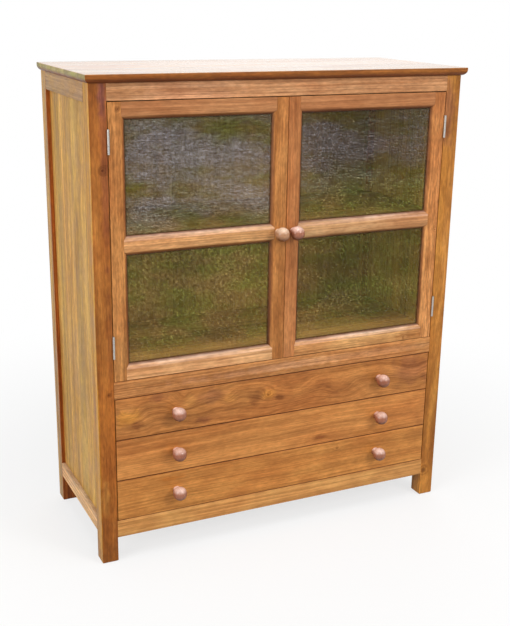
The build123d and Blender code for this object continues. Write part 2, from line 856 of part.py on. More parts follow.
def drawer_bottom(base):
    """The bottom board, held in grooves on three sides and slid in under the back."""
    reach = door_edge - drawer_side_thickness + drawer_bottom_groove - drawer_bottom_play
    front = front_y + drawer_front_thickness - drawer_bottom_groove + drawer_bottom_play
    with BuildPart() as bottom:
        block((-reach, reach), (front, drawer_end), drawer_bottom_z(base))
    return bottom.part


# ------------------------------------------------------------------ the whole cabinet
drawer_bases = [
    front_bottom_rail_z[1] + fitting_gap + index * drawer_pitch for index in range(len(drawer_names))
]
ball_knob = turned_knob()

pieces = {
    "top_board": top_slab(),
    "front_left_post": corner_post(-1, True),
    "front_right_post": corner_post(1, True),
    "back_left_post": corner_post(-1, False),
    "back_right_post": corner_post(1, False),
    "front_top_rail": front_rail(front_top_rail_z, rail_thickness, grooved=True),
    "front_middle_rail": front_rail(middle_rail_z, middle_rail_depth),
    "front_bottom_rail": front_rail(front_bottom_rail_z, rail_thickness),
    "back_top_rail": back_rail(side_top_rail_z, grooved=True),
    "back_bottom_rail": back_rail(side_bottom_rail_z),
    "left_top_rail": side_rail(-1, side_top_rail_z, True),
    "left_bottom_rail": side_rail(-1, side_bottom_rail_z, False),
    "right_top_rail": side_rail(1, side_top_rail_z, True),
    "right_bottom_rail": side_rail(1, side_bottom_rail_z, False),
    "left_side_panel": side_panel(-1),
    "right_side_panel": side_panel(1),
    "back_panel": back_boards(),
    "cupboard_floor": notched_board(floor_front, front_post_back + board_play, floor_z),
    "shelf": notched_board(shelf_front, None, shelf_z),
    "board_bearers": board_bearers(),
    "drawer_runners": drawer_runners(),
    "top_buttons": top_buttons(),
    "magnetic_catches": magnetic_catches(),
    "hinge_pins": hinge_pins(),
}

with BuildPart() as frame_hinge_leaves:
    for side in (-1, 1):
        add(hinge_leaves(side, turning=False))
pieces["frame_hinge_leaves"] = frame_hinge_leaves.part

for side, door in ((-1, "left_door"), (1, "right_door")):
    lower_cutter = pane_cutter(side, lower_sight_z)
    upper_cutter = pane_cutter(side, upper_sight_z)
    both_cutters = (lower_cutter, upper_cutter)
    knob_x = door_x(side, door_width - door_knob_inset)
    pieces[door + "_hinge_stile"] = door_stile(side, both_cutters, at_hinge=True)
    pieces[door + "_meeting_stile"] = door_stile(side, both_cutters, at_hinge=False)
    pieces[door + "_top_rail"] = door_rail(side, upper_cutter, at_top=True)
    pieces[door + "_bottom_rail"] = door_rail(side, lower_cutter, at_top=False)
    pieces[door + "_glazing_bar"] = glazing_bar(side, both_cutters)
    pieces[door + "_panes"] = glass_panes(side)
    pieces[door + "_beads"] = glazing_beads(side)
    pieces[door + "_knob"] = knobs_at([(knob_x, bar_centre)])
    pieces[door + "_hinge_leaves"] = hinge_leaves(side, turning=True)
    pieces[door + "_catch_plate"] = counter_plate(side)

for drawer, base in zip(drawer_names, drawer_bases):
    pieces[drawer + "_front"] = drawer_front(base)
    pieces[drawer + "_sides"] = drawer_sides(base)
    pieces[drawer + "_back"] = drawer_back(base)
    pieces[drawer + "_bottom"] = drawer_bottom(base)
    pieces[drawer + "_knobs"] = knobs_at(drawer_knob_places(base))

os.makedirs("parts", exist_ok=True)
for name, piece in pieces.items():
    piece.label = name
    export_step(piece, f"parts/{name}.step")
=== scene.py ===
"""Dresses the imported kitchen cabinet: varnished timber, glass, nickel hinges and screws.

Everything is in metres, in the cabinet's own frame: X across the front, Y from front to back, Z up.
Tones are written from 0 to 255, as they look, and the studio's light shows them about as written.
"""
import math

import bmesh
import bpy
from mathutils import Matrix, Vector


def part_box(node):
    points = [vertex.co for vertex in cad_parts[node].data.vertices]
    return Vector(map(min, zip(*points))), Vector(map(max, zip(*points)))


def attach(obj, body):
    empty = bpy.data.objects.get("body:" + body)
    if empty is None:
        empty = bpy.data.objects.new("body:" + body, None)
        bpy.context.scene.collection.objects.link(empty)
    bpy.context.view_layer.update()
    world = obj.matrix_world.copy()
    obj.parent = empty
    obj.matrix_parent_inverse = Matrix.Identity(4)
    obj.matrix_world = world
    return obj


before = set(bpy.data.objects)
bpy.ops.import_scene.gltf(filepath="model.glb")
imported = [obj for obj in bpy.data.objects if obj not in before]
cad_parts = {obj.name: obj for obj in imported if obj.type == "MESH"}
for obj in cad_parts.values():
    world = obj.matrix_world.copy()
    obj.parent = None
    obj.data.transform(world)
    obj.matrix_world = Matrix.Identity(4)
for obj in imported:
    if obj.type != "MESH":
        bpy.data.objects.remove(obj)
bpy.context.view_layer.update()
MM = 0.001


# ------------------------------------------------------------------ node trees
def srgb(red, green, blue):
    """A linear colour from the 0 to 255 values in which paint and stain are matched."""
    def linear(value):
        value /= 255
        return value / 12.92 if value <= 0.04045 else ((value + 0.055) / 1.055) ** 2.4

    return (linear(red), linear(green), linear(blue), 1.0)


class Tree:
    """One material's node tree, with short calls for the nodes that the finishes are made of."""

    def __init__(self, name):
        self.material = bpy.data.materials.new(name)
        self.material.use_nodes = True
        self.nodes = self.material.node_tree.nodes
        self.links = self.material.node_tree.links
        self.nodes.clear()
        self.output = self.nodes.new("ShaderNodeOutputMaterial")

    def node(self, kind, **settings):
        node = self.nodes.new("ShaderNode" + kind)
        for key, value in settings.items():
            setattr(node, key, value)
        return node

    def feed(self, socket, value):
        if isinstance(value, bpy.types.NodeSocket):
            self.links.new(value, socket)
        else:
            socket.default_value = value

    def math(self, operation, first, second=0.0, clamp=False):
        node = self.node("Math", operation=operation, use_clamp=clamp)
        self.feed(node.inputs[0], first)
        self.feed(node.inputs[1], second)
        return node.outputs[0]

    def mix(self, factor, first, second, blend="MIX"):
        node = self.node("Mix", data_type="RGBA", blend_type=blend)
        self.feed(node.inputs[0], factor)
        self.feed(node.inputs[6], first)
        self.feed(node.inputs[7], second)
        return node.outputs[2]

    def step(self, value, low, high, to_low=0.0, to_high=1.0):
        """value eased from to_low to to_high between low and high."""
        node = self.node("MapRange", interpolation_type="SMOOTHSTEP")
        for socket, entry in zip(node.inputs, (value, low, high, to_low, to_high)):
            self.feed(socket, entry)
        return node.outputs[0]

    def combine(self, x, y, z):
        node = self.node("CombineXYZ")
        for socket, entry in zip(node.inputs, (x, y, z)):
            self.feed(socket, entry)
        return node.outputs[0]

    def split(self, vector):
        node = self.node("SeparateXYZ")
        self.feed(node.inputs[0], vector)
        return node.outputs[0], node.outputs[1], node.outputs[2]

    def stretch(self, vector, scale, offset):
        """The coordinates scaled by three factors and moved, for stretched noise."""
        node = self.node("Mapping", vector_type="POINT")
        self.feed(node.inputs["Vector"], vector)
        node.inputs["Scale"].default_value = scale
        node.inputs["Location"].default_value = offset
        return node.outputs[0]

    def noise(self, vector, detail=2.0, roughness=0.5, colour=False):
        node = self.node("TexNoise")
        self.feed(node.inputs["Vector"], vector)
        node.inputs["Scale"].default_value = 1.0
        node.inputs["Detail"].default_value = detail
        node.inputs["Roughness"].default_value = roughness
        return node.outputs[1 if colour else 0]

    def object_place(self):
        return self.node("TexCoord").outputs["Object"]

    def surface(self, shader):
        self.links.new(shader, self.output.inputs["Surface"])
        return self.material


# ------------------------------------------------------------------ timber
GRAIN_TURNS = {
    "X": (0.0, 0.0, 0.0),
    "Y": (0.0, 0.0, math.pi / 2),
    "Z": (0.0, -math.pi / 2, 0.0),
}
THROUGH = 50.0  # a size that makes a mark run right through a board
KNOT_LIFT = 0.022  # how far a knot of KNOT_SIZE pushes the rings aside
KNOT_SIZE = 0.006
RING_SCALE, BAND_SCALE = 190.0, 55.0  # of the fine rings and the broad bands, across the radius
SEAM_OUTER, SEAM_INNER = 0.0012, 0.0003  # where a glue line begins to darken and is darkest
# How dense each pattern is: along the grain, and twice across it.
GRAIN_SCALES = {
    "rough": (45.0, 45.0, 45.0),
    "mottle": (18.0, 34.0, 34.0),
    "blush": (3.4, 10.0, 10.0),
    "fleck": (55.0, 210.0, 210.0),
    "fibre": (9.0, 330.0, 330.0),
    "pores": (42.0, 1300.0, 1300.0),
    "patch": (14.0, 60.0, 60.0),
}
# Arrises are paled by wear and a painted highlight; corners are darkened by grime and painted shade.
ARRIS_WEAR_AND_HIGHLIGHT, CORNER_GRIME_AND_SHADE = 0.3, 0.22  # the most that edges are rubbed and that corners are dulled


class StainAndPaintedLight:
    """The tone of a timber on its front and back, on its sides and on its upward faces, and its gloss.

    under is the tone of its downward faces, where it differs, and is painted shade. The side and upward
    tones, where they differ from the front, are partly painted light: sides paler where light falls on
    them, upward faces painted as highlights on bevels and as shade in the gaps. coat is the varnish all
    over, and top_coat, where one is given, the fuller varnish on upward faces.
    """

    def __init__(self, front, side=None, top=None, under=None, roughness=0.42, coat=0.0, top_coat=None):
        self.front = srgb(*front)
        self.side = srgb(*(side or front))
        self.top = srgb(*(top or side or front))
        self.under = srgb(*under) if under else None
        self.roughness, self.coat, self.top_coat = roughness, coat, top_coat


class Cut:
    """How a timber was sawn and what its faces show.

    heart is where the tree's heart lay, from the piece's middle, along the second and third local
    axis (the grain runs along the first). sway is how far the rings wander and waves how often.
    knots are (x, z, size) on a front, and swirls, round which the rings bend without a core, are
    (x, z, reach along x, reach along z, lift). marks are (centre, reach along each axis, tone,
    strength); lines, written the same way, have clean edges. staves is (local axis, width) for a board
    glued up of strips. figure is how strongly the rings show, and fineness how strongly the streaks and
    fibres do.
    """

    def __init__(self, grain, heart, sway=0.005, waves=1.6, knots=(), swirls=(), marks=(), lines=(),
                 staves=None, figure=1.0, fineness=1.0):
        self.grain, self.heart, self.sway, self.waves = grain, heart, sway, waves
        self.knots, self.swirls, self.marks, self.lines, self.staves = knots, swirls, marks, lines, staves
        self.figure, self.fineness = figure, fineness


def grey(tree, value):
    return tree.combine(value, value, value)


def timber(name, stain, cut, centre, seed):
    """Varnished timber: rings round the heart, streaks, mottle, fibres, pores, knots and marks, and painted
    light and shade.
    """
    tree = Tree(name)
    coordinates = tree.node("TexCoord")
    place = coordinates.outputs["Object"]
    turned = tree.node("Mapping", vector_type="TEXTURE")
    tree.feed(turned.inputs["Vector"], place)
    turned.inputs["Location"].default_value = centre
    turned.inputs["Rotation"].default_value = GRAIN_TURNS[cut.grain]
    local = turned.outputs[0]
    along, second, third = tree.split(local)
    shift = (seed * 3.17, seed * 7.31, seed * 1.93)
    source = local
    if cut.staves:
        axis, width = cut.staves
        across = (second, third)[axis - 1]
        strip = tree.math("ADD", tree.math("DIVIDE", across, width), 0.37)
        pick = tree.node("TexWhiteNoise", noise_dimensions="1D")
        tree.feed(pick.inputs["W"], tree.math("ADD", tree.math("FLOOR", strip), seed * 5.7))
        moved = tree.node("VectorMath", operation="ADD")
        tree.feed(moved.inputs[0], local)
        tree.feed(moved.inputs[1], pick.outputs["Color"])
        source = moved.outputs[0]
        from_middle = tree.math("SUBTRACT", tree.math("FRACT", strip), 0.5)
        seam = tree.math("ABSOLUTE", from_middle)
        joint_line = tree.step(seam, 0.5 - SEAM_OUTER / width, 0.5 - SEAM_INNER / width)
    _, drift_second, drift_third = tree.split(source)

    wander = tree.noise(tree.stretch(source, (cut.waves, 5.0, 5.0), shift), detail=2.0, colour=True)
    sway_second, sway_third, _ = tree.split(wander)
    squares = []
    for position, heart, swing in zip((drift_second, drift_third), cut.heart, (sway_second, sway_third)):
        swing = tree.math("MULTIPLY", tree.math("SUBTRACT", swing, 0.5), cut.sway * 4)
        distance = tree.math("ADD", tree.math("SUBTRACT", position, heart), swing)
        squares.append(tree.math("MULTIPLY", distance, distance))
    radius = tree.math("SQRT", tree.math("ADD", *squares))

    rough = tree.noise(tree.stretch(source, GRAIN_SCALES["rough"], shift), detail=3.0)
    ragged = tree.math("SUBTRACT", rough, 0.5)
    knot_core = 0.0
    knot_ring = 0.0
    for x, z, size in cut.knots:
        distance = reach(tree, place, (x, 0.0, z), (size, THROUGH, size), ragged, 0.9)
        radius = bulge(tree, radius, distance, 3.0, KNOT_LIFT * size / KNOT_SIZE)
        knot_core = tree.math("MAXIMUM", knot_core, tree.step(distance, 1.05, 0.4))
        knot_ring = tree.math("MAXIMUM", knot_ring, tree.step(distance, 3.2, 0.9))

    for x, z, reach_x, reach_z, lift in cut.swirls:
        distance = reach(tree, place, (x, 0.0, z), (reach_x, THROUGH, reach_z), ragged, 0.25)
        radius = bulge(tree, radius, distance, 1.0, lift)

    def layers(across_scale, along_scale, offset, detail, roughness=0.5):
        """Noise that follows the rings: dense across them and slow along the grain."""
        across_rings = tree.math("MULTIPLY", radius, across_scale)
        along_rings = tree.math("MULTIPLY", along, along_scale)
        return tree.noise(tree.combine(across_rings, along_rings, offset), detail, roughness)

    rings = layers(RING_SCALE, 1.6, seed * 2.3, 4.0, 0.62)
    bands = layers(BAND_SCALE, 1.1, seed * 1.7, 2.0)
    mottle = tree.noise(tree.stretch(source, GRAIN_SCALES["mottle"], shift), detail=2.0)
    blush_shift = (shift[2], shift[0], shift[1])
    blush = tree.noise(tree.stretch(source, GRAIN_SCALES["blush"], blush_shift), detail=2.0)
    fleck = tree.noise(tree.stretch(source, GRAIN_SCALES["fleck"], shift), detail=2.0, roughness=0.6)
    fibre = tree.noise(tree.stretch(source, GRAIN_SCALES["fibre"], shift), detail=3.0, roughness=0.6)
    pores = tree.noise(tree.stretch(source, GRAIN_SCALES["pores"], shift), detail=1.0)

    # Tones by face direction, partly painted light: sides and upward faces painted paler or as highlights,
    # downward faces painted as shade.
    sideways, _, up = tree.split(coordinates.outputs["Normal"])
    colour = tree.mix(tree.step(tree.math("ABSOLUTE", sideways), 0.35, 0.85), stain.front, stain.side)
    colour = tree.mix(tree.step(up, 0.15, 0.90), colour, stain.top)
    if stain.under:
        colour = tree.mix(tree.step(up, -0.05, -0.75), colour, stain.under)
    # Marks and lines: figure and tone, and on some pieces painted highlights, sheen and shade.
    for places, raggedness in ((cut.marks, 1.6), (cut.lines, 0.35)):
        for middle, sizes, mark_tone, strength in places:
            distance = reach(tree, place, middle, sizes, ragged, raggedness)
            mask = tree.math("MULTIPLY", tree.step(distance, 1.25, 0.35), strength)
            colour = tree.mix(mask, colour, srgb(*mark_tone))
    if cut.staves:
        stave = tree.mix(pick.outputs["Value"], (0.82, 0.84, 0.82, 1.0), (1.16, 1.13, 1.12, 1.0))
        colour = tree.mix(1.0, colour, stave, blend="MULTIPLY")
    tint = tree.mix(tree.step(blush, 0.38, 0.70), (1.03, 1.05, 1.06, 1.0), (0.93, 0.84, 0.80, 1.0))
    colour = tree.mix(1.0, colour, tint, blend="MULTIPLY")
    figure = cut.figure
    grain = tree.mix(tree.step(rings, 0.30, 0.68),
                     (1 - 0.36 * figure, 1 - 0.44 * figure, 1 - 0.52 * figure, 1.0),
                     (1 + 0.14 * figure, 1 + 0.16 * figure, 1 + 0.18 * figure, 1.0))
    colour = tree.mix(1.0, colour, grain, blend="MULTIPLY")
    colour = shade(tree, colour, bands, 0.30, 0.70, figure, 0.14, 0.12)
    shimmer = tree.mix(tree.step(mottle, 0.3, 0.7), (0.90, 0.86, 0.82, 1.0), (1.08, 1.10, 1.10, 1.0))
    colour = tree.mix(1.0, colour, shimmer, blend="MULTIPLY")
    colour = shade(tree, colour, fleck, 0.28, 0.72, cut.fineness, 0.16, 0.14)
    colour = shade(tree, colour, fibre, 0.25, 0.72, cut.fineness, 0.20, 0.14)
    pit = tree.step(pores, 0.36, 0.28)
    dark = tree.mix(1.0, colour, (0.36, 0.27, 0.2, 1.0), blend="MULTIPLY")
    colour = tree.mix(tree.math("MULTIPLY", pit, 0.4), colour, dark)
    if cut.knots:
        colour = tree.mix(tree.math("MULTIPLY", knot_ring, 0.32), colour, dark)
        colour = tree.mix(tree.math("MULTIPLY", knot_core, 0.75), colour, dark)
    if cut.staves:
        colour = tree.mix(tree.math("MULTIPLY", joint_line, 0.35), colour, dark)
    colour = wear_and_painted_light(tree, colour, dark, source, shift)

    shader = tree.node("BsdfPrincipled")
    tree.feed(shader.inputs["Base Color"], colour)
    sheen = tree.step(mottle, 0.3, 0.7, stain.roughness - 0.07, stain.roughness + 0.07)
    tree.feed(shader.inputs["Roughness"], tree.math("ADD", sheen, tree.math("MULTIPLY", pit, 0.15)))
    shader.inputs["Specular IOR Level"].default_value = 0.18
    if stain.top_coat is None:
        shader.inputs["Coat Weight"].default_value = stain.coat
    else:
        full = tree.step(blush, 0.66, 0.36, stain.top_coat * 0.84, stain.top_coat)
        full = tree.math("MULTIPLY", full, tree.step(fibre, 0.25, 0.5, 0.9, 1.0))
        upward = tree.step(up, 0.25, 0.75)
        more = tree.math("MULTIPLY", upward, tree.math("SUBTRACT", full, stain.coat))
        varnish = tree.math("ADD", more, stain.coat)
        tree.feed(shader.inputs["Coat Weight"], varnish)
    shader.inputs["Coat Roughness"].default_value = 0.15
    relief = tree.math("ADD", tree.math("MULTIPLY", rings, 0.8), tree.math("SUBTRACT", fibre, pit))
    bump = tree.node("Bump")
    bump.inputs["Strength"].default_value = 0.35
    bump.inputs["Distance"].default_value = 0.00025
    tree.feed(bump.inputs["Height"], relief)
    tree.feed(shader.inputs["Normal"], bump.outputs[0])
    return tree.surface(shader.outputs[0])


def shade(tree, colour, pattern, low, high, strength, darker, lighter):
    """The colour made darker where pattern is under low and lighter where it is over high."""
    factor = tree.step(pattern, low, high, 1 - darker * strength, 1 + lighter * strength)
    return tree.mix(1.0, colour, grey(tree, factor), blend="MULTIPLY")


def bulge(tree, radius, distance, width, lift):
    """The rings' radius lifted in a bell round a knot or swirl, so that rings close round it."""
    spread = tree.math("MULTIPLY", tree.math("POWER", distance, 2.0), -1.0 / width ** 2)
    return tree.math("ADD", radius, tree.math("MULTIPLY", tree.math("POWER", math.e, spread), lift))


def reach(tree, place, middle, sizes, ragged, raggedness):
    """How far a place is from middle, in units of sizes, with a ragged outline."""
    scaled = tree.node("Mapping", vector_type="TEXTURE")
    tree.feed(scaled.inputs["Vector"], place)
    scaled.inputs["Location"].default_value = middle
    scaled.inputs["Scale"].default_value = sizes
    length = tree.node("VectorMath", operation="LENGTH")
    tree.feed(length.inputs[0], scaled.outputs[0])
    distance = tree.math("ADD", length.outputs["Value"], tree.math("MULTIPLY", ragged, raggedness))
    return tree.math("MAXIMUM", distance, 0.0)


def wear_and_painted_light(tree, colour, dark, source, shift):
    """The colour paled along the arrises, partly wear and partly a painted highlight, and darkened in the
    corners by ambient occlusion, partly dust and wax and partly painted shade.
    """
    rounded = tree.node("Bevel", samples=4)
    rounded.inputs["Radius"].default_value = 0.0028
    facing = tree.node("VectorMath", operation="DOT_PRODUCT")
    tree.feed(facing.inputs[0], rounded.outputs[0])
    tree.feed(facing.inputs[1], tree.node("NewGeometry").outputs["True Normal"])
    arris = tree.step(facing.outputs["Value"], 0.995, 0.86)
    patch = tree.noise(tree.stretch(source, GRAIN_SCALES["patch"], shift), detail=3.0)
    # Paled arrises: wear and a painted highlight where the rounded edge catches the light.
    rubbed_and_lit = tree.math("MULTIPLY", arris, tree.step(patch, 0.35, 0.65, 0.02, ARRIS_WEAR_AND_HIGHLIGHT))
    pale = tree.mix(1.0, colour, (1.3, 1.34, 1.4, 1.0), blend="MULTIPLY")
    colour = tree.mix(rubbed_and_lit, colour, pale)
    corner = tree.node("AmbientOcclusion", samples=4)
    corner.inputs["Distance"].default_value = 0.009
    # Corners darkened by ambient occlusion: grime and painted shade where parts meet.
    grime_and_shade = tree.step(corner.outputs["AO"], 0.75, 0.25, 0.0, CORNER_GRIME_AND_SHADE)
    return tree.mix(grime_and_shade, colour, dark)


# ------------------------------------------------------------------ glass and metal
SIGHT_WIDTH, SIGHT_HEIGHT = 0.375, 0.27125  # the part of each pane that shows
SIGHT_MIDDLE_X = 0.2285
SIGHT_MIDDLES_Z = (0.665125, 0.982375)
BAR_LOW, BAR_HIGH = 0.79, 0.84  # behind the glazing bars, where the panes' finish changes


def sight_margin(tree, across, height):
    """How far a place on a pane is from the nearest edge of the opening that shows it."""
    outward = tree.math("SUBTRACT", tree.math("ABSOLUTE", across), SIGHT_MIDDLE_X)
    from_middle = tree.math("ABSOLUTE", outward)
    drops = [tree.math("ABSOLUTE", tree.math("SUBTRACT", height, middle)) for middle in SIGHT_MIDDLES_Z]
    beside = tree.math("SUBTRACT", SIGHT_WIDTH / 2, from_middle)
    above = tree.math("SUBTRACT", SIGHT_HEIGHT / 2, tree.math("MINIMUM", *drops))
    return tree.math("MINIMUM", beside, above)


def window_glass():
    """Float glass under a thin made-up film of painted reflection: greyer above, olive and brown below.

    The film stays on the glass from wherever it is seen, and is all but clear to the lamps' light.
    """
    tree = Tree("pane_glass")
    place = tree.object_place()
    across, _, height = tree.split(place)

    def pattern(sideways, upward, shift, detail=3.0, roughness=0.6):
        stretched = tree.stretch(place, (sideways, 0.0, upward), (shift, 1.0, shift * 0.7))
        return tree.noise(stretched, detail, roughness)

    clouds = pattern(5.0, 13.0, 6.0, 4.0)
    patches = pattern(9.0, 20.0, 2.0)
    crumbs = pattern(120.0, 130.0, 11.0)
    streaks = tree.step(height, BAR_LOW, BAR_HIGH, crumbs, pattern(34.0, 240.0, 3.0, 4.0))
    dashes = pattern(130.0, 400.0, 8.0, 2.0)
    grains = pattern(300.0, 360.0, 5.0, 1.0)
    band_height = tree.math("SUBTRACT", height, tree.step(across, -0.02, 0.16, 0.0, 0.09))
    grey_band = tree.math("MULTIPLY", tree.step(band_height, 0.80, 0.94), tree.step(height, 1.15, 1.09))
    grey_band = tree.math("MULTIPLY", grey_band, tree.step(clouds, 0.34, 0.58))
    # The film's colours are painted reflection of the surroundings, greyer above, olive below and darker to
    # the right.
    film = tree.mix(tree.step(patches, 0.38, 0.62), srgb(132, 136, 66), srgb(160, 136, 84))
    film = tree.mix(tree.step(across, 0.0, 0.3, 0.0, 0.5), film, srgb(112, 128, 66))
    film = tree.mix(grey_band, film, srgb(146, 142, 150))
    film = shade(tree, film, clouds, 0.30, 0.70, 1.0, 0.36, 0.28)
    film = shade(tree, film, across, -0.15, 0.20, 1.0, -0.02, -0.26)
    film = shade(tree, film, streaks, 0.30, 0.70, 1.0, 0.45, 0.50)
    film = shade(tree, film, dashes, 0.32, 0.68, 1.0, 0.60, 0.80)
    film = shade(tree, film, grains, 0.32, 0.68, 1.0, 0.45, 0.50)
    speckled = shade(tree, film, pattern(210.0, 280.0, 13.0, 2.0), 0.30, 0.70, 1.0, 0.7, 0.9)
    right = tree.step(across, 0.0, 0.1)
    left = tree.math("SUBTRACT", 1.0, right)
    film = tree.mix(right, film, speckled)
    # Painted reflection: the right panes dimmed above and in the middle, the left panes low down.
    upper = tree.step(height, 0.93, 1.00)
    middle = tree.math("MULTIPLY", tree.step(height, 0.62, 0.70), tree.step(height, 0.83, 0.80))
    lower = tree.step(height, 0.70, 0.64)
    for beside, band, dimming in ((right, upper, 0.32), (right, middle, 0.22), (left, lower, 0.20)):
        region = tree.math("MULTIPLY", beside, band)
        film = shade(tree, film, region, 0.0, 1.0, 1.0, 0.0, -dimming)
    # Painted glints, more above the glazing bars.
    glints = tree.step(height, BAR_LOW, BAR_HIGH, 0.3, 0.6)
    film = tree.mix(tree.step(dashes, 0.66, 0.76, 0.0, glints), film, srgb(228, 222, 210))
    # A painted glow along the bottom of the lower panes.
    sill_glow = tree.step(height, 0.575, 0.535)
    film = tree.mix(tree.math("MULTIPLY", sill_glow, 0.5), film, srgb(226, 164, 92))
    # Painted shade along the edges of each opening.
    rim = tree.step(sight_margin(tree, across, height), 0.0055, 0.0005)
    film = tree.mix(rim, film, srgb(40, 26, 16))
    body = tree.node("BsdfPrincipled")
    tree.feed(body.inputs["Base Color"], film)
    tree.feed(body.inputs["Roughness"], tree.step(clouds, 0.3, 0.7, 0.12, 0.25))
    body.inputs["Specular IOR Level"].default_value = 0.4
    clear = tree.node("BsdfTransparent")
    clear.inputs["Color"].default_value = (0.93, 0.95, 0.86, 1.0)
    path = tree.node("LightPath")
    lamp = tree.math("MAXIMUM", path.outputs["Is Shadow Ray"], path.outputs["Is Diffuse Ray"])
    cover = tree.step(streaks, 0.25, 0.75, 0.15, 0.21)
    cover = tree.math("ADD", cover, tree.math("MULTIPLY", sill_glow, 0.06))
    cover = tree.math("ADD", cover, tree.math("MULTIPLY", rim, 0.22))
    cover = tree.math("MULTIPLY", cover, tree.math("SUBTRACT", 1.0, tree.math("MULTIPLY", lamp, 0.8)))
    mixed = tree.node("MixShader")
    tree.feed(mixed.inputs[0], cover)
    tree.feed(mixed.inputs[1], clear.outputs[0])
    tree.feed(mixed.inputs[2], body.outputs[0])
    return tree.surface(mixed.outputs[0])


BRUSHING_SCALES = (540.0, 540.0, 90.0)


def plated_metal(name, colour, roughness):
    """Plated steel with fine brushing, dull spots and a little tarnish in its corners."""
    tree = Tree(name)
    place = tree.object_place()
    brushing = tree.noise(tree.stretch(place, BRUSHING_SCALES, (1.0, 2.0, 3.0)), detail=4.0)
    spots = tree.noise(tree.stretch(place, (160.0, 160.0, 160.0), (5.0, 2.0, 7.0)), detail=3.0)
    corner = tree.node("AmbientOcclusion", samples=4)
    corner.inputs["Distance"].default_value = 0.002
    tarnish = tree.step(corner.outputs["AO"], 0.7, 0.3)
    dull = tree.math("MAXIMUM", tree.step(spots, 0.55, 0.8, 0.0, 0.5), tarnish)
    dull_colour = tuple(c * 0.45 for c in colour[:3]) + (1.0,)
    shader = tree.node("BsdfPrincipled")
    tree.feed(shader.inputs["Base Color"], tree.mix(dull, colour, dull_colour))
    shader.inputs["Metallic"].default_value = 1.0
    tree.feed(shader.inputs["Roughness"], tree.step(brushing, 0.3, 0.7, roughness - 0.06, roughness + 0.12))
    bump = tree.node("Bump")
    bump.inputs["Strength"].default_value = 0.2
    bump.inputs["Distance"].default_value = 0.00005
    tree.feed(bump.inputs["Height"], brushing)
    tree.feed(shader.inputs["Normal"], bump.outputs[0])
    return tree.surface(shader.outputs[0])


def moulded_plastic():
    """Brown moulded plastic with a fine spark texture."""
    tree = Tree("catch_plastic")
    place = tree.object_place()
    grain = tree.noise(tree.stretch(place, (900.0, 900.0, 900.0), (0.0, 0.0, 0.0)), detail=2.0)
    shader = tree.node("BsdfPrincipled")
    brown = tree.mix(tree.step(grain, 0.3, 0.7), srgb(74, 46, 26), srgb(92, 60, 36))
    tree.feed(shader.inputs["Base Color"], brown)
    tree.feed(shader.inputs["Roughness"], tree.step(grain, 0.2, 0.8, 0.42, 0.6))
    bump = tree.node("Bump")
    bump.inputs["Strength"].default_value = 0.25
    bump.inputs["Distance"].default_value = 0.0001
    tree.feed(bump.inputs["Height"], grain)
    tree.feed(shader.inputs["Normal"], bump.outputs[0])
    return tree.surface(shader.outputs[0])


# ------------------------------------------------------------------ finishes for the cabinet's pieces
QUARTER = (0.05, 0.16)  # a heart well to one side: straight, close grain
RIFT = (0.10, 0.10)
# A painted highlight on the upward bevels of the door rails and glazing bars.
BEVEL_HIGHLIGHT = (242, 206, 184)
# Painted shade on the upward edges that look into the gaps above drawers and rails.
GAP_SHADE_EDGE = (174, 108, 58)
# Edges in the gaps round the doors, painted paler so that the gaps show less shade.
GAP_LIT_EDGE = (222, 154, 92)  # bare edges that look into the gaps round the doors
# Painted shade on the side faces and bevels of the door stiles.
STILE_SIDE_SHADE = (150, 90, 50)
# Painted shade on a rail's downward edge.
UNDER_SHADE_TINT = (0.66, 0.58, 0.42)  # of a rail's tone on its downward edge
FRONT_Y = -0.19  # just ahead of the front faces of the posts, doors and drawers
FRONT_REACH = 0.02  # keeps a mark to the front of a piece

SIDE = StainAndPaintedLight((186, 146, 88), roughness=0.5)
PANEL = StainAndPaintedLight((186, 146, 88), (200, 155, 82), roughness=0.5)
INNER = StainAndPaintedLight((186, 146, 92), (180, 140, 88), (196, 150, 94))
LINING = StainAndPaintedLight((206, 164, 110))
# Knobs: their upward tone is a painted highlight and their downward tone is painted shade.
KNOB = StainAndPaintedLight((164, 104, 78), (158, 98, 72), (236, 198, 184), (108, 58, 32), roughness=0.3, coat=0.5)
TAN_KNOB = StainAndPaintedLight((178, 128, 92), (170, 120, 86), (232, 198, 170), (122, 72, 38), roughness=0.3, coat=0.5)
# The top board's downward tone is painted shade under its nosing.
TOP = StainAndPaintedLight((166, 100, 43), (165, 152, 88), (190, 146, 102), (124, 66, 28), roughness=0.4, top_coat=1.0)


def rail(tone, sheen=GAP_SHADE_EDGE):
    """A rail whose upward edge is painted: as shade in the gaps, paler in the gaps round the doors, or as a
    highlight on a door's bevel; its downward edge is painted shade.
    """
    return StainAndPaintedLight(tone, tone, sheen, [c * k for c, k in zip(tone, UNDER_SHADE_TINT)])


def stile(tone):
    # A stile whose side faces are painted shade.
    return StainAndPaintedLight(tone, STILE_SIDE_SHADE, tone)


def front_mark(x, z, reach_x, reach_z, tone, strength):
    """A dark or light place on the front of a piece; some are painted sheen and highlights."""
    return ((x, FRONT_Y, z), (reach_x, FRONT_REACH, reach_z), tone, strength)


def plane_mark(axis, place, reach_across, tone, strength=1.0):
    """A mark over all of a piece that lies close to the plane at place along axis."""
    middle, sizes = [0.0, 0.0, 0.0], [THROUGH] * 3
    middle[axis], sizes[axis] = place, reach_across
    return (tuple(middle), tuple(sizes), tone, strength)


def arris_highlight(z):
    """A painted highlight along the arris between a door member's bevel and its face."""
    return ((0.0, FRONT_Y, z), (THROUGH, 0.006, 0.003), (238, 194, 166), 0.5)


# Painted shade at the foot of the door bevels, by the glass.
BEVEL_FOOT_SHADE = plane_mark(1, -0.1787, 0.0062, (104, 62, 36), 0.8)  # wax and dust by the glass
# Painted shade on a back post's face beside its recessed panel.
POST_RECESS_SHADE = plane_mark(1, 0.1885, 0.004, (166, 90, 36))  # on a back post, by its panel

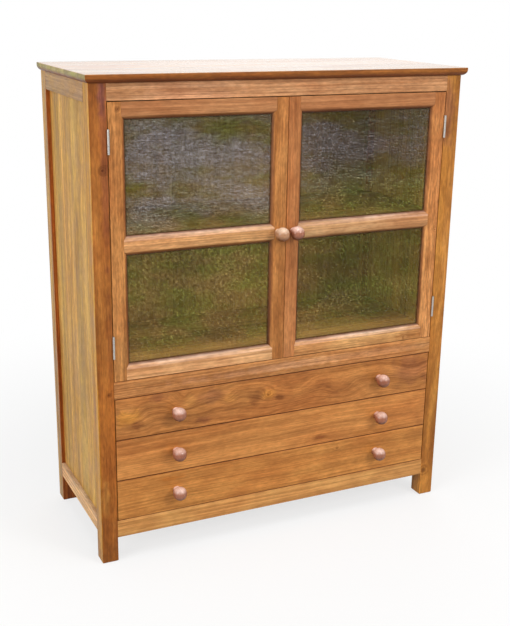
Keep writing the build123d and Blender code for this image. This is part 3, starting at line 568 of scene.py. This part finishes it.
CUTS = {
    "top_board": (TOP, Cut("X", (0.0, -0.14), staves=(1, 0.115), figure=0.6)),
    # The left post's side tone is painted light: paler and yellower where light falls on its side face.
    "front_left_post": (StainAndPaintedLight((162, 99, 43), (197, 141, 53)), Cut(
        "Z", (-0.16, 0.03), sway=0.008, knots=((-0.4728, 1.0047, 0.004), (-0.4716, 0.4574, 0.003)),
        marks=(front_mark(-0.467, 1.02, 0.012, 0.26, (124, 64, 46), 0.5),
               front_mark(-0.466, 0.57, 0.010, 0.17, (122, 64, 30), 0.55),
               front_mark(-0.489, 0.70, 0.010, 0.30, (190, 124, 58), 0.45),
               ((-0.479, FRONT_Y, 0.30), (0.05, 0.004, 0.30), (174, 100, 34), 0.45),
               ((-0.50, -0.165, 0.30), (0.004, 0.06, 0.34), (200, 142, 38), 0.5),
               ((-0.479, FRONT_Y, 0.02), (0.05, 0.05, 0.05), (126, 72, 22), 0.3),
               front_mark(-0.469, 1.168, 0.014, 0.042, (104, 58, 62), 0.65),
               # A painted highlight low on the post.
               front_mark(-0.486, 0.18, 0.012, 0.05, (212, 150, 74), 0.55)))),
    "front_right_post": (StainAndPaintedLight((188, 126, 56)), Cut(
        "Z", (0.16, 0.03), sway=0.008, knots=((0.4666, 0.0777, 0.004),),
        marks=(((0.49, FRONT_Y, 0.8), (0.014, 0.05, 0.26), (214, 150, 80), 0.5),
               ((0.488, FRONT_Y, 0.49), (0.014, 0.05, 0.12), (218, 156, 78), 0.5),
               ((0.479, FRONT_Y, 0.03), (0.05, 0.05, 0.08), (214, 146, 66), 0.45),
               front_mark(0.466, 1.10, 0.030, 0.10, (140, 86, 54), 0.85),
               front_mark(0.466, 0.30, 0.010, 0.12, (150, 86, 34), 0.4)))),
    "back_left_post": (StainAndPaintedLight((186, 141, 69)), Cut("Z", (-0.03, 0.10), lines=(POST_RECESS_SHADE,))),
    "back_right_post": (StainAndPaintedLight((186, 141, 69)), Cut("Z", (-0.03, -0.10), lines=(POST_RECESS_SHADE,))),
    "front_top_rail": (rail((203, 147, 102)), Cut(
        "X", QUARTER, marks=(front_mark(-0.27, 1.18, 0.14, 0.05, (228, 172, 132), 0.5),))),
    "front_middle_rail": (rail((196, 134, 79), GAP_LIT_EDGE), Cut(
        # The first mark is a painted sheen along the rail.
        "X", QUARTER, marks=(front_mark(0.12, 0.466, 0.42, 0.012, (214, 160, 124), 0.45),
                               front_mark(0.30, 0.466, 0.22, 0.05, (222, 160, 98), 0.45)))),
    "front_bottom_rail": (rail((218, 160, 94), GAP_LIT_EDGE), Cut("X", QUARTER, figure=0.8, fineness=0.45)),
    "back_top_rail": (SIDE, Cut("X", QUARTER)),
    "back_bottom_rail": (SIDE, Cut("X", QUARTER)),
    "left_top_rail": (StainAndPaintedLight((172, 132, 81)), Cut("Y", QUARTER, figure=0.8, fineness=0.6)),
    # The side bottom rails' upward tone is a painted highlight on the ledge below each panel.
    "left_bottom_rail": (StainAndPaintedLight((232, 180, 119), None, (240, 208, 172)), Cut("Y", QUARTER)),
    "right_top_rail": (StainAndPaintedLight((174, 134, 86)), Cut("Y", QUARTER, figure=0.8, fineness=0.6)),
    "right_bottom_rail": (StainAndPaintedLight((225, 173, 115), None, (240, 208, 172)), Cut("Y", QUARTER)),
    "left_side_panel": (PANEL, Cut(
        "Z", (0.16, -0.05), staves=(1, 0.052),
        marks=(((-0.49, -0.09, 0.28), (THROUGH, 0.12, 0.26), (220, 172, 86), 0.55),
               ((-0.49, -0.09, 1.00), (THROUGH, 0.12, 0.12), (220, 172, 90), 0.5),
               ((-0.49, 0.12, 0.32), (THROUGH, 0.14, 0.18), (184, 138, 62), 0.55)))),
    "right_side_panel": (PANEL, Cut("Z", (0.16, 0.05), staves=(1, 0.052), figure=0.8, fineness=0.6)),
    "back_panel": (INNER, Cut("Z", RIFT, staves=(2, 0.094), figure=0.5, fineness=0.2)),
    "cupboard_floor": (INNER, Cut("X", (0.0, -0.11), staves=(1, 0.075))),
    "shelf": (INNER, Cut("X", (0.0, -0.11), staves=(1, 0.07))),
    "board_bearers": (INNER, Cut("Y", RIFT)),
    "drawer_runners": (LINING, Cut("Y", RIFT)),
    "top_buttons": (LINING, Cut("Y", RIFT)),
}
DOOR_CUTS = {
    "left_door_hinge_stile": (stile((198, 134, 75)), Cut(
        "Z", (0.16, -0.03), knots=((-0.4327, 1.1422, 0.0025),), fineness=1.3)),
    "left_door_meeting_stile": (stile((182, 120, 65)), Cut("Z", (0.16, 0.03), figure=0.7, fineness=1.2)),
    "left_door_top_rail": (rail((192, 132, 86), GAP_LIT_EDGE), Cut("X", QUARTER, figure=0.7, fineness=0.7)),
    "left_door_bottom_rail": (rail((224, 169, 117), BEVEL_HIGHLIGHT), Cut(
        "X", QUARTER, figure=0.8, fineness=0.7,
        marks=(front_mark(-0.42, 0.505, 0.14, 0.03, (192, 130, 80), 0.5),
               front_mark(-0.06, 0.505, 0.12, 0.03, (240, 186, 132), 0.45)))),
    "left_door_glazing_bar": (rail((219, 166, 111), BEVEL_HIGHLIGHT), Cut("X", QUARTER)),
    "right_door_hinge_stile": (stile((218, 152, 93)), Cut(
        "Z", (0.16, 0.03), knots=((0.4491, 0.7941, 0.003),), fineness=1.4,
        marks=(front_mark(0.436, 0.80, 0.05, 0.28, (226, 156, 94), 0.5),
               front_mark(0.436, 1.16, 0.05, 0.08, (188, 118, 70), 0.6)))),
    "right_door_meeting_stile": (stile((202, 133, 80)), Cut("Z", (0.16, -0.03))),
    "right_door_top_rail": (rail((183, 122, 78), GAP_LIT_EDGE), Cut("X", QUARTER, figure=0.6, fineness=0.6)),
    "right_door_bottom_rail": (rail((213, 158, 100), BEVEL_HIGHLIGHT), Cut(
        "X", QUARTER, knots=((0.369, 0.4986, 0.003),),
        marks=(front_mark(0.42, 0.505, 0.07, 0.03, (180, 116, 58), 0.6),))),
    "right_door_glazing_bar": (rail((212, 164, 116), BEVEL_HIGHLIGHT), Cut(
        "X", QUARTER, figure=0.7, fineness=0.7,
        marks=(front_mark(0.40, 0.823, 0.16, 0.03, (184, 128, 82), 0.6),
               front_mark(0.08, 0.823, 0.12, 0.03, (234, 188, 136), 0.5)))),
}
DRAWER_CUTS = {
    "top_drawer_front": (rail((190, 125, 67)), Cut(
        "X", (0.08, -0.09), sway=0.011, waves=4.5, figure=0.85, fineness=0.75,
        swirls=((-0.425, 0.392, 0.036, 0.028, 0.020), (-0.282, 0.412, 0.032, 0.026, 0.020),
                (-0.156, 0.401, 0.022, 0.020, 0.012), (0.03, 0.396, 0.062, 0.030, 0.026),
                (0.17, 0.373, 0.050, 0.028, 0.022), (0.41, 0.39, 0.05, 0.05, 0.016)),
        knots=((-0.041, 0.3915, 0.004),),
        marks=(front_mark(-0.425, 0.39, 0.035, 0.022, (216, 146, 66), 0.8),
               front_mark(-0.40, 0.366, 0.022, 0.013, (120, 62, 30), 0.6),
               front_mark(-0.346, 0.431, 0.026, 0.013, (124, 70, 48), 0.55),
               front_mark(-0.262, 0.408, 0.020, 0.020, (204, 142, 76), 0.6),
               front_mark(-0.20, 0.415, 0.040, 0.024, (146, 92, 64), 0.5),
               front_mark(-0.150, 0.400, 0.020, 0.016, (206, 140, 72), 0.6),
               front_mark(-0.078, 0.388, 0.022, 0.020, (124, 70, 34), 0.55),
               front_mark(-0.040, 0.393, 0.020, 0.016, (226, 156, 74), 0.8),
               front_mark(-0.006, 0.379, 0.016, 0.009, (112, 58, 22), 0.6),
               front_mark(0.045, 0.392, 0.030, 0.024, (198, 136, 74), 0.5),
               front_mark(-0.22, 0.35, 0.028, 0.011, (128, 70, 46), 0.65),
               front_mark(0.160, 0.362, 0.024, 0.012, (134, 78, 42), 0.45),
               front_mark(0.215, 0.376, 0.026, 0.020, (196, 132, 72), 0.5),
               front_mark(0.40, 0.40, 0.06, 0.05, (150, 92, 60), 0.6)))),
    "middle_drawer_front": (rail((204, 136, 73)), Cut(
        "X", (0.06, 0.17), sway=0.009, waves=2.6, figure=0.6, fineness=0.6,
        marks=(front_mark(0.119, 0.2435, 0.022, 0.007, (136, 72, 32), 0.6),
               front_mark(0.30, 0.234, 0.09, 0.012, (200, 128, 62), 0.5)))),
    "bottom_drawer_front": (rail((205, 138, 71)), Cut(
        "X", (0.05, -0.17), sway=0.008, waves=2.6, figure=0.6, fineness=0.7,
        knots=((0.174, 0.2008, 0.003),),
        marks=(front_mark(-0.311, 0.205, 0.04, 0.006, (206, 122, 44), 0.5),))),
}
for drawer in ("top_drawer", "middle_drawer", "bottom_drawer"):
    DRAWER_CUTS[drawer + "_sides"] = (LINING, Cut("Y", RIFT))
    DRAWER_CUTS[drawer + "_back"] = (LINING, Cut("X", RIFT))
    DRAWER_CUTS[drawer + "_bottom"] = (LINING, Cut("X", (0.0, -0.11), staves=(1, 0.12)))
    DRAWER_CUTS[drawer + "_knobs"] = (KNOB, Cut("Y", RIFT, figure=0.3, fineness=0.4))

# The clean-edged lines on the doors, painted highlights and paler gap edges: the heights of arrises, and
# how far outer edges are from the middle.
ARRIS_HEIGHTS = {"bottom_rail": 0.5195, "glazing_bar": 0.8368}
OUTER_EDGES = {"hinge_stile": 0.456, "meeting_stile": 0.001}
for node, (_, cut) in DOOR_CUTS.items():
    side = -1 if "left" in node else 1
    cut.lines += (BEVEL_FOOT_SHADE,)
    cut.lines += tuple(arris_highlight(z) for member, z in ARRIS_HEIGHTS.items() if member in node)
    cut.lines += tuple(
        plane_mark(0, side * x, 0.0007, GAP_LIT_EDGE) for member, x in OUTER_EDGES.items() if member in node)
for door in ("left_door", "right_door"):
    DOOR_CUTS[door + "_beads"] = (rail((176, 116, 62)), Cut("X", RIFT))
    knob_stain = TAN_KNOB if door == "left_door" else KNOB
    DOOR_CUTS[door + "_knob"] = (knob_stain, Cut("Y", RIFT, figure=0.3, fineness=0.4))


def centre_of(node):
    low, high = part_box(node)
    return (low + high) / 2


def dress(node, material):
    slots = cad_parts[node].material_slots
    for slot in slots:
        slot.material = material


ARRIS_RADIUS = 0.7 * MM


def round_arrises(node):
    """Real rounded edges on a timber: its doubled vertices are welded, then its edges are eased."""
    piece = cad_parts[node]
    weld = piece.modifiers.new("weld", "WELD")
    weld.merge_threshold = 0.01 * MM
    ease = piece.modifiers.new("ease", "BEVEL")
    ease.width = ARRIS_RADIUS
    ease.segments = 2
    ease.limit_method = "ANGLE"
    ease.angle_limit = math.radians(50)
    ease.use_clamp_overlap = True
    smooth = piece.modifiers.new("shade", "WEIGHTED_NORMAL")
    smooth.keep_sharp = False


def dress_cabinet():
    pieces = {**CUTS, **DOOR_CUTS, **DRAWER_CUTS}
    for seed, (node, (stain, cut)) in enumerate(pieces.items(), 1):
        dress(node, timber(node, stain, cut, centre_of(node), seed))
    glass = window_glass()
    nickel = plated_metal("hinge_nickel", (0.47, 0.45, 0.42, 1.0), 0.3)
    steel = plated_metal("catch_steel", (0.62, 0.62, 0.62, 1.0), 0.38)
    dress("hinge_pins", nickel)
    dress("frame_hinge_leaves", nickel)
    dress("magnetic_catches", moulded_plastic())
    for door in ("left_door", "right_door"):
        dress(door + "_panes", glass)
        dress(door + "_hinge_leaves", nickel)
        dress(door + "_catch_plate", steel)
    unrounded = ("panes", "knob", "knobs", "hinge_leaves", "hinge_pins", "plate", "catches", "top_board",
                 "drawer_front")
    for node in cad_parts:
        if not node.endswith(unrounded):
            round_arrises(node)
    return nickel, steel


# ------------------------------------------------------------------ screws
SCREW_RADIUS, SCREW_DEPTH, SCREW_RISE = 1.85 * MM, 1.6 * MM, 0.15 * MM  # of a head; rise is its crown's
SCREW_SIDES = 10  # to half a head
SLOT_HALF_WIDTH, SLOT_DEPTH, CROWN_REACH, NECK_REACH = 0.2, 0.28, 0.55, 0.5  # of the head's radius
FIRST_TURN, TURN_STEP = 0.7, 1.9  # radians, so that no two neighbours' slots point the same way


def slotted_screw(mesh, place, facing, turn):
    """One countersunk screw with a slot, its head's face at place and looking along facing."""
    facing = Vector(facing).normalized()
    basis = facing.to_track_quat("Z", "Y").to_matrix().to_4x4()
    world = Matrix.Translation(place) @ basis @ Matrix.Rotation(turn, 4, "Z")
    slot = SCREW_RADIUS * SLOT_HALF_WIDTH
    floor = -SCREW_RADIUS * SLOT_DEPTH
    start = math.asin(slot / SCREW_RADIUS)
    for sign in (-1, 1):
        rim = []
        for index in range(SCREW_SIDES + 1):
            angle = -math.pi / 2 + start + (math.pi - 2 * start) * index / SCREW_SIDES
            x, y = sign * SCREW_RADIUS * math.cos(angle), SCREW_RADIUS * math.sin(angle)
            rim.append(Vector((x, y, 0.0)))
        inner = [Vector((sign * slot, p.y, 0.0)) for p in (rim[0], rim[-1])]
        crown = Vector((sign * SCREW_RADIUS * CROWN_REACH, 0.0, SCREW_RISE))
        top = [mesh.verts.new(world @ p) for p in rim]
        ends = [mesh.verts.new(world @ p) for p in inner]
        peak = mesh.verts.new(world @ crown)
        neck = [
            mesh.verts.new(world @ Vector((p.x * NECK_REACH, p.y * NECK_REACH, -SCREW_DEPTH))) for p in rim
        ]
        low = [mesh.verts.new(world @ Vector((p.x, p.y, floor))) for p in inner]
        base = [mesh.verts.new(world @ Vector((0.0, p.y, floor))) for p in inner]
        ring = [ends[0]] + top + [ends[1]]
        for a, b in zip(ring, ring[1:] + ring[:1]):
            mesh.faces.new((a, b, peak))
        for a, b, c, d in zip(top, top[1:], neck[1:], neck):
            mesh.faces.new((a, b, c, d))
        mesh.faces.new((ends[0], ends[1], low[1], low[0]))
        mesh.faces.new((low[0], low[1], base[1], base[0]))


def screws(name, body, material, places):
    """A set of screws as one piece on a body. Each place is (centre, facing)."""
    mesh = bmesh.new()
    for index, (place, facing) in enumerate(places):
        slotted_screw(mesh, Vector(place), facing, FIRST_TURN + index * TURN_STEP)
    bmesh.ops.remove_doubles(mesh, verts=mesh.verts, dist=0.001 * MM)
    bmesh.ops.recalc_face_normals(mesh, faces=mesh.faces)
    data = bpy.data.meshes.new(name)
    mesh.to_mesh(data)
    mesh.free()
    piece = bpy.data.objects.new(name, data)
    bpy.context.scene.collection.objects.link(piece)
    data.materials.append(material)
    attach(piece, body)


HINGE_SCREW_SPACING = 19.0 * MM
HINGE_LENGTH = 57.0 * MM
LEAF_SCREW_BACK = 10.1 * MM  # from the front of the cabinet to the screws' line
LEAF_PROUD = 0.6 * MM  # how far a leaf stands out of the edge that it is let into


def leaf_screw_places(leaves):
    """Y and Z of the three screw holes of each of the two hinge leaves in a node."""
    low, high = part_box(leaves)
    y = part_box("front_left_post")[0].y + LEAF_SCREW_BACK
    return [
        (y, base + HINGE_LENGTH / 2 + step * HINGE_SCREW_SPACING)
        for base in (low.z, high.z - HINGE_LENGTH)
        for step in (-1, 0, 1)
    ]


def add_screws(nickel, steel):
    frame_places = []
    sides = ((-1, "left_door", "front_left_post"), (1, "right_door", "front_right_post"))
    for side, door, post in sides:
        holes = leaf_screw_places(door + "_hinge_leaves")
        low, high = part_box(door + "_hinge_stile")
        leaf_face = (low if side < 0 else high).x + side * LEAF_PROUD
        places = [((leaf_face, y, z), (side, 0, 0)) for y, z in holes]
        screws(door + "_hinge_screws", door, nickel, places)
        low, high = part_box(post)
        leaf_face = (high if side < 0 else low).x - side * LEAF_PROUD
        frame_places += [((leaf_face, y, z), (-side, 0, 0)) for y, z in holes]
        low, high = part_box(door + "_catch_plate")
        middle = (low + high) / 2
        places = [((middle.x, high.y, middle.z), (0, 1, 0))]
        screws(door + "_catch_screw", door, steel, places)
    screws("frame_hinge_screws", "carcase", nickel, frame_places)


# ------------------------------------------------------------------ studio
FLOOR_HALF = 30.0
# name, place, what it looks at, diameter, watts, colour
LAMPS = (
    ("sky", (-0.2, -0.9, 3.6), (0.0, 0.0, 0.6), 2.6, 43.0, (1.0, 0.99, 0.98)),
    ("key", (1.8, -3.4, 2.6), (0.0, 0.0, 0.6), 1.6, 70.0, (1.0, 0.98, 0.95)),
    ("back", (1.6, 3.0, 3.2), (0.0, 0.0, 0.5), 3.2, 30.0, (1.0, 0.99, 0.97)),
    ("fill", (-3.4, -1.2, 1.8), (0.0, 0.0, 0.6), 2.4, 62.0, (1.0, 0.99, 0.97)),
)
AIR_COLOUR, AIR_LEVEL = (0.92, 0.95, 1.0, 1.0), 0.46
CAMERA_PLACE = (-1.15255, -2.44016, 1.39525)
CAMERA_TURN, CAMERA_TILT, CAMERA_ROLL = -25.422, -17.257, -0.915  # degrees
CAMERA_LENS, CAMERA_SENSOR = 59.2, 36.0


def floor_material():
    """A white floor that looks white but keeps the cabinet's shadow close to its feet."""
    tree = Tree("studio_floor")
    paper = tree.node("BsdfDiffuse")
    white = tree.node("Emission")
    white.inputs["Color"].default_value = (1.0, 1.0, 1.0, 1.0)
    path = tree.node("LightPath")
    seen = tree.math("MAXIMUM", path.outputs["Is Camera Ray"], path.outputs["Is Glossy Ray"])
    seen = tree.math("MAXIMUM", seen, path.outputs["Is Transmission Ray"])
    tree.feed(paper.inputs["Color"], tree.mix(seen, (0.5, 0.5, 0.48, 1.0), (0.86, 0.86, 0.85, 1.0)))
    apart = tree.node("VectorMath", operation="LENGTH")
    tree.feed(apart.inputs[0], tree.object_place())
    whiteness = tree.step(apart.outputs["Value"], 0.6, 1.8, 0.72, 1.0)
    mixed = tree.node("MixShader")
    tree.feed(mixed.inputs[0], tree.math("MULTIPLY", seen, whiteness))
    tree.feed(mixed.inputs[1], paper.outputs[0])
    tree.feed(mixed.inputs[2], white.outputs[0])
    return tree.surface(mixed.outputs[0])


def floor():
    data = bpy.data.meshes.new("studio_floor")
    corners = [(x * FLOOR_HALF, y * FLOOR_HALF, 0) for x, y in ((-1, -1), (1, -1), (1, 1), (-1, 1))]
    data.from_pydata(corners, [], [(0, 1, 2, 3)])
    piece = bpy.data.objects.new("studio_floor", data)
    bpy.context.scene.collection.objects.link(piece)
    data.materials.append(floor_material())


def area_lamp(name, place, target, size, watts, colour):
    data = bpy.data.lights.new(name, "AREA")
    data.shape = "DISK"
    data.size = size
    data.energy = watts
    data.color = colour
    lamp = bpy.data.objects.new(name, data)
    bpy.context.scene.collection.objects.link(lamp)
    lamp.location = place
    lamp.rotation_euler = (Vector(target) - Vector(place)).to_track_quat("-Z", "Y").to_euler()


def lights():
    for lamp in LAMPS:
        area_lamp(*lamp)
    world = bpy.data.worlds.new("studio")
    bpy.context.scene.world = world
    world.use_nodes = True
    nodes, links = world.node_tree.nodes, world.node_tree.links
    nodes.clear()
    output = nodes.new("ShaderNodeOutputWorld")
    air = nodes.new("ShaderNodeBackground")
    air.inputs["Color"].default_value = AIR_COLOUR
    air.inputs["Strength"].default_value = AIR_LEVEL
    backdrop = nodes.new("ShaderNodeBackground")
    backdrop.inputs["Color"].default_value = (1.0, 1.0, 1.0, 1.0)
    backdrop.inputs["Strength"].default_value = 1.0
    path = nodes.new("ShaderNodeLightPath")
    mixed = nodes.new("ShaderNodeMixShader")
    seen = path.outputs["Is Camera Ray"]
    for kind in ("Is Glossy Ray", "Is Transmission Ray"):
        either = nodes.new("ShaderNodeMath")
        either.operation = "MAXIMUM"
        links.new(seen, either.inputs[0])
        links.new(path.outputs[kind], either.inputs[1])
        seen = either.outputs[0]
    links.new(seen, mixed.inputs[0])
    links.new(air.outputs[0], mixed.inputs[1])
    links.new(backdrop.outputs[0], mixed.inputs[2])
    links.new(mixed.outputs[0], output.inputs["Surface"])


def camera():
    """The photograph's viewpoint: its place, its turn, tilt and roll, and its angle of view."""
    data = bpy.data.cameras.new("camera")
    data.sensor_width = CAMERA_SENSOR
    data.lens = CAMERA_LENS
    data.clip_end = 200.0
    eye = bpy.data.objects.new("camera", data)
    bpy.context.scene.collection.objects.link(eye)
    turn, tilt, roll = (math.radians(a) for a in (CAMERA_TURN, CAMERA_TILT, CAMERA_ROLL))
    eye.matrix_world = (
        Matrix.Translation(CAMERA_PLACE)
        @ Matrix.Rotation(turn, 4, "Z")
        @ Matrix.Rotation(math.pi / 2 + tilt, 4, "X")
        @ Matrix.Rotation(-roll, 4, "Z")
    )
    bpy.context.scene.camera = eye


camera()
floor()
lights()
nickel, steel = dress_cabinet()
add_screws(nickel, steel)
bpy.context.scene.view_settings.view_transform = "Standard"
